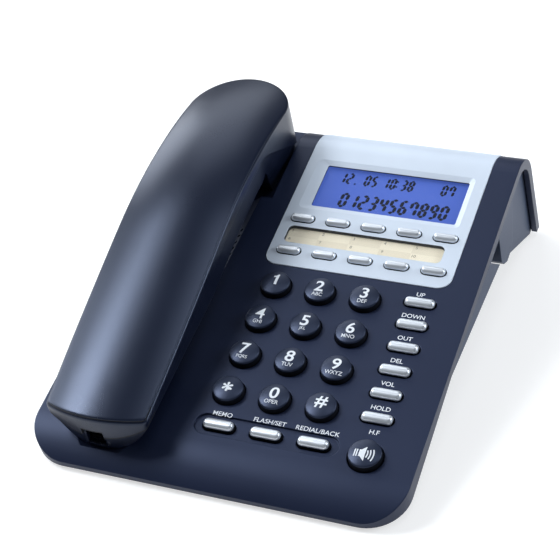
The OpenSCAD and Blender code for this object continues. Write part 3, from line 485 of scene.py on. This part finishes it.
# Name card: a cream card in ten boxes, checkered in two tones with a number printed in each. It lies under the
# plate's opening, and a clear strip covers it.
card_cream = moulded("card_cream", (0.95, 0.86, 0.67), 0.7, grain=900)
card_shade = moulded("card_shade", (0.87, 0.78, 0.6), 0.7, grain=900)
card_ink = moulded("card_ink", (0.25, 0.22, 0.17), 0.8)
dress(card_cream, "index_card")
dress(clear_plastic("card_strip", (0.9, 0.9, 0.88), window_alpha), "index_cover")
card_height, card_ink_lift = -1.37, 0.02
card_number_h, card_number_in, card_number_rows = 1.5, 1.6, (3.4, -1.4)
box_w, box_h = card_w / memory_columns, card_h / len(memory_rows)
shade_points = []
shade_faces = []
for column in range(memory_columns):
    x0 = card_x - card_w / 2 + column * box_w
    y0 = card_y - column % 2 * box_h
    start = len(shade_points)
    shade_points += [(x0, y0, card_height), (x0 + box_w, y0, card_height), (x0 + box_w, y0 + box_h, card_height),
                     (x0, y0 + box_h, card_height)]
    shade_faces.append(tuple(range(start, start + 4)))
piece("card_boxes", shade_points, shade_faces, card_shade, "base", smooth=False)

sideways, lengthways = Vector((1, 0, 0)), Vector((0, 1, 0))
ink_step, ink_merge, letter_steps = 0.55, 0.004, 5


def cut(work, across, place):
    """Cuts a mesh by a plane that stands across a direction, and keeps both sides."""
    bmesh.ops.bisect_plane(work, geom=work.verts[:] + work.edges[:] + work.faces[:], plane_no=across,
                           plane_co=across * place)


def merge(work, distance):
    """Joins the points of a mesh that nearly meet, and takes out the faces that this leaves empty."""
    bmesh.ops.remove_doubles(work, verts=work.verts[:], dist=distance)
    bmesh.ops.dissolve_degenerate(work, edges=work.edges[:], dist=distance)


def lay_ink(name, ink, x, y, body, material, surface):
    """Lays a flat print round a place on the panel, on a surface that gives the height there."""
    ink.normal_update()
    bmesh.ops.triangulate(ink, faces=ink.faces[:])
    for across in (sideways, lengthways):
        places = [v.co.dot(across) for v in ink.verts]
        for k in range(1, int((max(places) - min(places)) / ink_step) + 1):
            cut(ink, across, min(places) + k * ink_step)
    merge(ink, ink_merge)
    for v in ink.verts:
        v.co = on_panel(x + v.co.x, y + v.co.y, surface(x + v.co.x, y + v.co.y))
    made = make_object(name, ink, [material])
    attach(made, body)


def printed(name, words, height, x, y, body, material, surface, weight=0.0, wide=1.0):
    """Printed words with their middle at a place on the panel."""
    letters = bpy.data.curves.new(name, "FONT")
    letters.body = words
    letters.align_x = "CENTER"
    letters.offset = weight
    letters.resolution_u = letter_steps
    shape = bpy.data.objects.new(name, letters)
    outline = bpy.data.meshes.new_from_object(shape)
    bpy.data.objects.remove(shape)
    bpy.data.curves.remove(letters)
    ink = bmesh.new()
    ink.from_mesh(outline)
    bpy.data.meshes.remove(outline)
    xs = [v.co.x for v in ink.verts]
    ys = [v.co.y for v in ink.verts]
    scale = height / (max(ys) - min(ys))
    middle = ((max(xs) + min(xs)) / 2, (max(ys) + min(ys)) / 2)
    for v in ink.verts:
        v.co = ((v.co.x - middle[0]) * scale * wide, (v.co.y - middle[1]) * scale, 0)
    lay_ink(name, ink, x, y, body, material, surface)


for i in range(len(memory_places)):
    row, column = divmod(i, memory_columns)
    number_x = card_x - card_w / 2 + column * box_w + card_number_in
    number_y = card_y + card_number_rows[row]
    printed("card_number_%d" % (i + 1), str(i + 1), card_number_h, number_x, number_y, "base", card_ink,
            lambda x, y: card_height + card_ink_lift)

# Dial keys and the hands-free key: satin black caps with a low dome, a short side and a flange under the panel, each
# in its own hole on the rubber mat. The flange, the side and the lower half of the rounded edge are painted in
# shade.
# The figures and letters are printed in white.
key_black = moulded("key_black", (0.007, 0.0105, 0.024), 0.4, depth=0.08, specular=0.7, sheen=navy_sheen)
# key_shadow is painted shade for the keys' flanges and sides.
key_shadow = moulded("key_shadow", (0.003, 0.004, 0.008), 0.6, specular=0.15)
legend_white = moulded("legend_white", (0.82, 0.85, 0.9), 0.6, depth=0.02)
dome_radius, key_rise, cap_shoulder, cap_edge = 20.0, 3.8, 0.5, 0.55
flange_reach, flange_top, flange_low = 1.3, -3.3, -4.3
cap_sides, edge_steps, dome_rings, dome_middle, cap_dark_strips = 48, 6, 11, 11.3, 6
key_sharp, ink_lift = 38, 0.03


def dome(distance):
    """Height of a key's dome at a distance from its middle."""
    return key_rise - dome_radius + math.sqrt(dome_radius ** 2 - distance ** 2)


def ink_on_dome(key_x, key_y):
    """Gives the height of the print on a key's dome."""
    return lambda x, y: dome(math.hypot(x - key_x, y - key_y)) + ink_lift


def ring_stack(name, rings, material, body, node, dark_strips):
    """A key from its outlines, from the flange to the top, closed at both ends, with its lowest strips in painted
    shade.
    """
    points = []
    faces = []
    count = len(rings[0][0])
    for outline, height in rings:
        points += [(x, y, height) for x, y in outline]
    for k in range(len(rings) - 1):
        for i in range(count):
            j = (i + 1) % count
            faces.append((k * count + i, k * count + j, (k + 1) * count + j, (k + 1) * count + i))
    faces.append(tuple(reversed(range(count))))
    faces.append(tuple(range(len(points) - count, len(points))))
    made = piece(name, points, faces, material, body)
    made.data.set_sharp_from_angle(angle=math.radians(key_sharp))
    # The lowest strips take key_shadow: painted shade on the flange and the side.
    made.data.materials.append(key_shadow)
    for face in made.data.polygons[:dark_strips * count]:
        face.material_index = 1
    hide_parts(node)


def round_cap(name, x, y, diameter, body):
    """A round key: a flange, a short wall, a rounded edge and a low dome."""
    r = diameter / 2
    inner = r - cap_edge
    rise = dome(inner) - cap_shoulder
    rings = [(r + flange_reach, flange_low), (r + flange_reach, flange_top), (r, flange_top), (r, cap_shoulder)]
    for i in range(1, edge_steps + 1):
        turn = math.radians(90 / edge_steps * i)
        rings.append((inner + cap_edge * math.cos(turn), cap_shoulder + rise * math.sin(turn)))
    for i in range(1, dome_rings + 1):
        distance = inner * (1 - i / dome_middle)
        rings.append((distance, dome(distance)))
    last_turn = 360 - 360 / cap_sides
    stack = [(arc(x, y, reach, 0, last_turn, cap_sides - 1), height) for reach, height in rings]
    ring_stack(name, stack, key_black, body, body.removesuffix("_body"), cap_dark_strips)


dial_x, dial_pitch_x, dial_y, dial_pitch_y, dial_d, dial_columns = 15.1, 19.6, -0.9, 18.9, 12.8, 3
mark_h, star_h, mark_wide = 5.7, 4.6, 1.04
mark_rise, mark_rises = 1.1, {"star": 0.0, "hash": 0.8}
mark_weight, mark_weights = 0.018, {"4": 0.004}
letters_h, letters_drop, letters_weight = 1.7, 3.1, 0.006
one_outline = [(-0.1, -2.85), (1.05, -2.85), (1.05, 2.85), (0.4, 2.85), (0.1, 2.2), (-0.5, 1.85), (-1.15, 1.75),
               (-1.15, 0.95), (-0.1, 1.1)]
dial_marks = [("1", "1", ""), ("2", "2", "ABC"), ("3", "3", "DEF"), ("4", "4", "GHI"), ("5", "5", "JKL"),
              ("6", "6", "MNO"), ("7", "7", "PQRS"), ("8", "8", "TUV"), ("9", "9", "WXYZ"), ("star", "*", ""),
              ("0", "0", "OPER"), ("hash", "#", "")]
for i, (name, mark, letters) in enumerate(dial_marks):
    row, column = divmod(i, dial_columns)
    key_x = dial_x + (column - dial_columns // 2) * dial_pitch_x
    key_y = dial_y - row * dial_pitch_y
    body = "key_%s_body" % name
    round_cap("dial_cap_" + name, key_x, key_y, dial_d, body)
    ink_height = ink_on_dome(key_x, key_y)
    mark_y = key_y + mark_rises.get(name, mark_rise)
    if name == "1":
        one = bmesh.new()
        one.faces.new([one.verts.new((*corner, 0)) for corner in one_outline])
        lay_ink("dial_mark_1", one, key_x, mark_y, body, legend_white, ink_height)
    else:
        printed("dial_mark_" + name, mark, star_h if name == "star" else mark_h, key_x, mark_y, body,
                legend_white, ink_height, weight=mark_weights.get(name, mark_weight), wide=mark_wide)
    if letters:
        printed("dial_letters_" + name, letters, letters_h, key_x, key_y - letters_drop, body,
                legend_white, ink_height, weight=letters_weight)

hands_free_x, hands_free_y, hands_free_d = 58.2, -75.5, 13.4
sign_shift, sign_drop = 0.1, 0.9
sign_bars, sign_bar_w, sign_bar_reach = (-4.0, -3.1), 0.5, 1.6
horn_outline = [(-2.0, -1.5), (-1.3, -1.5), (0.5, -3.2), (0.5, 3.2), (-1.3, 1.5), (-2.0, 1.5)]
wave_x, wave_reaches, wave_half, wave_turn, wave_steps = -2.5, (3.9, 5.0, 6.2), 0.25, 24, 8
round_cap("hands_free_cap", hands_free_x, hands_free_y, hands_free_d, "hands_free_key_body")
sign_work = bmesh.new()


def sign_patch(outline):
    """A patch of the loudspeaker sign."""
    sign_work.faces.new([sign_work.verts.new((x, y, 0)) for x, y in outline])


for left in sign_bars:
    right = left + sign_bar_w
    sign_patch([(left, -sign_bar_reach), (right, -sign_bar_reach), (right, sign_bar_reach), (left, sign_bar_reach)])
sign_patch(horn_outline)
for reach in wave_reaches:
    sign_patch(arc(wave_x, 0, reach + wave_half, -wave_turn, wave_turn, wave_steps)
               + arc(wave_x, 0, reach - wave_half, wave_turn, -wave_turn, wave_steps))
lay_ink("hands_free_sign", sign_work, hands_free_x + sign_shift, hands_free_y - sign_drop, "hands_free_key_body",
        legend_white, ink_on_dome(hands_free_x, hands_free_y))

# Silver keys: the memory keys, the right-hand column and the bottom row, plastic bars under bright silver paint
# with a flange under the panel. What each one does is printed beside it on the panel.
key_silver = moulded("key_silver", (0.78, 0.82, 0.88), 0.34, grain=4000, depth=0.02, metallic=0.75)
bar_rise, bar_shoulder, bar_steps, bar_close = 2.2, 0.4, 10, 0.985
# The flange and the foot up to the shoulder take key_shadow: painted shade where they show in the gap.
bar_end_share, bar_corner_share, bar_dark_strips = 0.55, 0.49, 3
memory_corner = 1.9


def silver_bar(name, x, y, length, width, corner):
    """A silver key: a half-round bar with rounded corners, steeper at its ends than at its sides."""
    rings = [(-flange_reach, flange_low), (-flange_reach, flange_top), (0, flange_top), (0, bar_shoulder)]
    for i in range(1, bar_steps + 1):
        turn = math.radians(90 / bar_steps * i)
        rings.append((width / 2 * (1 - math.cos(turn)) * bar_close,
                      bar_shoulder + (bar_rise - bar_shoulder) * math.sin(turn)))
    stack = []
    for inset, height in rings:
        along = length - 2 * (inset if inset < 0 else bar_end_share * inset)
        across = width - 2 * inset
        stack.append((rounded_box(x, y, along, across, min(corner, across * bar_corner_share)), height))
    ring_stack("silver_" + name, stack, key_silver, name + "_body", name, bar_dark_strips)


for i, (x, y) in enumerate(memory_places):
    silver_bar("memory_key_%d" % (i + 1), x, y, memory_l, memory_w, memory_corner)
side_x, side_y, side_pitch, side_l, side_w, side_corner = 57.3, 2.0, 11.9, 12.6, 4.6, 1.6
side_marks = [("up_key", "UP", 56.4, 6.6), ("down_key", "DOWN", 56.6, -5.1), ("out_key", "OUT", 56.5, -16.8),
              ("delete_key", "DEL", 56.6, -28.5), ("volume_key", "VOL", 56.4, -40.3),
              ("hold_key", "HOLD", 57.2, -52.3)]
row_x, row_y, row_pitch, row_corner = 17.0, -74.0, 19.7, 2.0
row_marks = [("memo_key", "MEMO", -3.1, -68.4), ("flash_key", "FLASH/SET", 16.7, -67.9),
             ("redial_key", "REDIAL/BACK", 36.5, -67.9)]
hands_free_mark = ("hands_free_key", "H.F", 58.1, -63.8)
label_h, label_weight = 2.1, 0.008
for i, (name, *_) in enumerate(side_marks):
    silver_bar(name, side_x, side_y - i * side_pitch, side_l, side_w, side_corner)
for i, (name, *_) in enumerate(row_marks):
    silver_bar(name, row_x + (i - 1) * row_pitch, row_y, side_l, side_w, row_corner)
for name, mark, x, y in [*side_marks, *row_marks, hands_free_mark]:
    printed("mark_" + name, mark, label_h, x, y, "base", legend_white, lambda x, y: ink_lift,
            weight=label_weight)

# Handset works: the receiver and microphone capsules, the steel weight and the cord socket, which go into the inner
# shell before the back closes it, and the two screws that hold it. Tin cans, plated steel and black plastic.
dress(capsule_tin, "earpiece", "handset_microphone")
dress(screw_steel, "handset_weight", "handset_screws")
dress(moulded("socket_black", (0.003, 0.003, 0.004), 0.7, specular=0.05), "handset_jack")

# Handset back: the outer shell, a crowned back that bends along its length, with a crisp edge, a fine step under it
# and a wall down to the seam. Same plastic as the case, but smoother. Two screws hold it to the inner shell.
handset_plastic = moulded("handset_plastic", (0.004, 0.0065, 0.018), 0.29, soft_edge=0.3, sheen=(0.6, 0.71, 1))
# step_shadow is painted shade for the step under the edge and the socket hole at the mouth end.
step_shadow = moulded("step_shadow", (0.002, 0.003, 0.008), 0.7)
handset_x = -46.7
bend_y, bend_z, back_slope = -3.5, 31.5, math.tan(math.radians(8.95))
sweep_y, sweep_z, sweep_radius, crown_radius = 28.39, -171.02, 205.0, 70.0
half_wide, wide_y, side_bow, side_end, side_steps = 23.4, 7.0, 7000.0, 70, 30
mouth_y, mouth_radius, mouth_steps = -44.6, 49.0, 12
mouth_corner, mouth_corner_y, mouth_corner_steps = 3.0, -86, 8
ear_y, ear_radius, ear_steps = 77.2, 23.2, 34
jack_left, jack_right, jack_top, jack_low = -5.5, 3.9, 8.9, 1.29
jack_wall_y, jack_cut, jack_shade = -80, 0.002, 1
under_radius, under_z, under_slope = 23.9, -5.87, 0.0284
seam_gap, lip, lip_rise, shell_merge, dark_y = 0.6, 1.1, 2, 0.0005, -84
seam_line = [(-93.6, 5.09), (-88.1, 10.59), (-59.6, 13.66), (-47.6, 15.92), (-3.5, 22.87), (10.0, 24.53),
             (28.4, 25.35), (50.4, 24.17), (92.4, -6.52), (101.0, -6.52)]
spine_low, spine_high, spine_shares = -75.0, 78.0, (0.0, 0.2, 0.4, 0.58, 0.74, 0.87, 0.95)
edge_w, edge_more_at_mouth, edge_less_at_ear = 0.9, 0.2, 0.6
mouth_fade, mouth_fade_l, ear_fade, ear_fade_l = 55, 25, 40, 40
edge_profile = [(1.0, 0.0), (0.86, 0.1), (0.8, 0.32), (0.84, 0.6), (0.6, 0.66), (0.3, 0.9), (0.08, 1.35), (0.0, 2.0)]
step_strips = (len(spine_shares) + 2, len(spine_shares) + 3)
seam_strip = len(spine_shares) + len(edge_profile)


def back_height(x, y):
    """Height of the handset's back, from its middle line."""
    along = bend_z + (y - bend_y) * back_slope
    if y > bend_y:
        along = sweep_z + math.sqrt(sweep_radius ** 2 - (y - sweep_y) ** 2)
    return along - crown_radius + math.sqrt(crown_radius ** 2 - x * x)


def seam_height(y):
    """Height of the seam between the handset's shells."""
    for (y0, z0), (y1, z1) in zip(seam_line, seam_line[1:]):
        if y <= y1:
            return z0 + (z1 - z0) * (max(y, y0) - y0) / (y1 - y0)
    return seam_line[-1][1]


def under_height(x, y):
    """Height of the handset's round underside."""
    return under_z - under_slope * y + under_radius - math.sqrt(max(0.0, under_radius ** 2 - x * x))


def side_reach(y):
    """Half the handset's width along its length."""
    return half_wide - (y - wide_y) ** 2 / side_bow


def fade(y, start, length):
    """Rises from 0 at a start to 1 over a length."""
    return min(1.0, max(0.0, (y - start) / length))


corner_x = side_reach(mouth_corner_y) - mouth_corner
corner_y = mouth_y - math.sqrt((mouth_radius - mouth_corner) ** 2 - corner_x ** 2)
corner_turn = math.degrees(math.atan2(corner_y - mouth_y, corner_x))
half_outline = arc(0, mouth_y, mouth_radius, -90, corner_turn, mouth_steps)
for side in (-jack_left, jack_right):
    for x in (side - jack_cut, side + jack_cut):
        half_outline.append((x, mouth_y - math.sqrt(mouth_radius ** 2 - x * x)))
half_outline.sort()
half_outline += arc(corner_x, corner_y, mouth_corner, corner_turn, 0, mouth_corner_steps)[1:]
side_places = [corner_y + (side_end - corner_y) * i / side_steps for i in range(1, side_steps + 1)]
half_outline += [(side_reach(y), y) for y in side_places]
ear_arc = arc(0, ear_y, ear_radius, 0, 90, ear_steps)
half_outline += [(x * side_reach(ear_y) / ear_radius, y) for x, y in ear_arc]
back_outline = half_outline + [(-x, y) for x, y in reversed(half_outline[1:-1])]
back_count = len(back_outline)
back_columns = []
for i, (x, y) in enumerate(back_outline):
    (x0, y0), (x1, y1) = back_outline[i - 1], back_outline[(i + 1) % back_count]
    length = math.hypot(x1 - x0, y1 - y0)
    nx, ny = (y1 - y0) / length, (x0 - x1) / length
    near_mouth, near_ear = fade(-y, mouth_fade, mouth_fade_l), fade(y, ear_fade, ear_fade_l)
    edge = edge_w + edge_more_at_mouth * near_mouth - edge_less_at_ear * near_ear
    top_x, top_y = x - nx * edge, y - ny * edge
    top_z = back_height(top_x, top_y)
    spine_y = min(spine_high, max(spine_low, top_y))
    column = []
    for share in spine_shares:
        ring_x, ring_y = top_x * share, spine_y + (top_y - spine_y) * share
        column.append((ring_x, ring_y, back_height(ring_x, ring_y)))
    for inset, drop in edge_profile:
        column.append((x - nx * edge * inset, y - ny * edge * inset, top_z - drop * edge))
    low = seam_height(y)
    if y < sweep_y:
        low = max(low, under_height(x, y))
    if y < jack_wall_y and jack_left < x < jack_right:
        low = max(low, jack_top)
    lip_x, lip_y = x - nx * lip, y - ny * lip
    column += [(x, y, low + seam_gap), (x, y, low), (lip_x, lip_y, low), (lip_x, lip_y, low + lip_rise)]
    back_columns.append(column)
back_work = bmesh.new()
back_rings = [[back_work.verts.new((handset_x + x, y, z)) for x, y, z in ring] for ring in zip(*back_columns)]
for k, (upper, lower) in enumerate(zip(back_rings, back_rings[1:])):
    for i, (x, y) in enumerate(back_outline):
        j = (i + 1) % back_count
        face = back_work.faces.new((upper[i], lower[i], lower[j], upper[j]))
        # At the mouth end the step under the edge and the socket hole's walls take step_shadow as painted shade, and
        # the seam band takes it as a dark line.
        at_jack = k > seam_strip and jack_left - jack_shade < x < jack_right
        if y < dark_y and (k in step_strips or k == seam_strip or at_jack):
            face.material_index = 1
bmesh.ops.remove_doubles(back_work, verts=back_work.verts[:], dist=shell_merge)
bmesh.ops.recalc_face_normals(back_work, faces=back_work.faces[:])
for v in back_work.verts:
    v.co = on_panel(*v.co)
handset_shell = make_object("handset_shell", back_work, [handset_plastic, step_shadow], sharp=40)
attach(handset_shell, "handset")
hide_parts("handset_back")

# Handset front: the inner shell with the mouth and ear cups, of the same plastic, let into the back. Below the seam
# the ear cup draws in like a bowl. The hole for the cord socket is in its lower end.
upwards = Vector((0, 0, 1))
cup_cut_low, cup_cut_step, cup_cuts, cup_merge = -7.5, 2, 16, 0.002
jack_spare, jack_drop = 0.1, 2.4
cup_step, cup_step_depth, cup_draw, cup_depth = 0.4, 0.5, 4.2, 24
cup_fade, cup_fade_l, cup_front_share = 46, 8, 0.4
cup_work = bmesh.new()
cup_work.from_mesh(cad["handset_front"].data)
for v in cup_work.verts:
    x, y, z = v.co / MM
    y, z = y + panel_shift, z - panel_lift
    v.co = (x - handset_x, y * math.cos(panel_tilt) + z * math.sin(panel_tilt),
            z * math.cos(panel_tilt) - y * math.sin(panel_tilt))
for across, place in ((sideways, jack_left), (sideways, jack_right), (upwards, jack_low), (upwards, jack_top)):
    cut(cup_work, across, place)
for k in range(cup_cuts):
    cut(cup_work, upwards, cup_cut_low + cup_cut_step * k)
merge(cup_work, cup_merge)
for v in cup_work.verts:
    x, y, z = v.co
    at_jack = y < jack_wall_y and jack_left - jack_spare < x < jack_right + jack_spare
    if at_jack and abs(z - jack_low) < jack_spare:
        z = jack_low - jack_drop
    depth = max(0.0, seam_height(y) - z)
    bowl = 1 - math.cos(min(1.0, depth / cup_depth) * math.pi / 2)
    draw = cup_step * min(1.0, depth / cup_step_depth) + cup_draw * bowl
    draw *= fade(y, cup_fade, cup_fade_l) / ear_radius
    draw_y = draw * (1.0 if y > ear_y else cup_front_share)
    v.co = on_panel(handset_x + x * (1 - draw), ear_y + (y - ear_y) * (1 - draw_y), z)
handset_cups = make_object("handset_cups", cup_work, [handset_plastic], sharp=30)
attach(handset_cups, "handset")
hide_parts("handset_front")
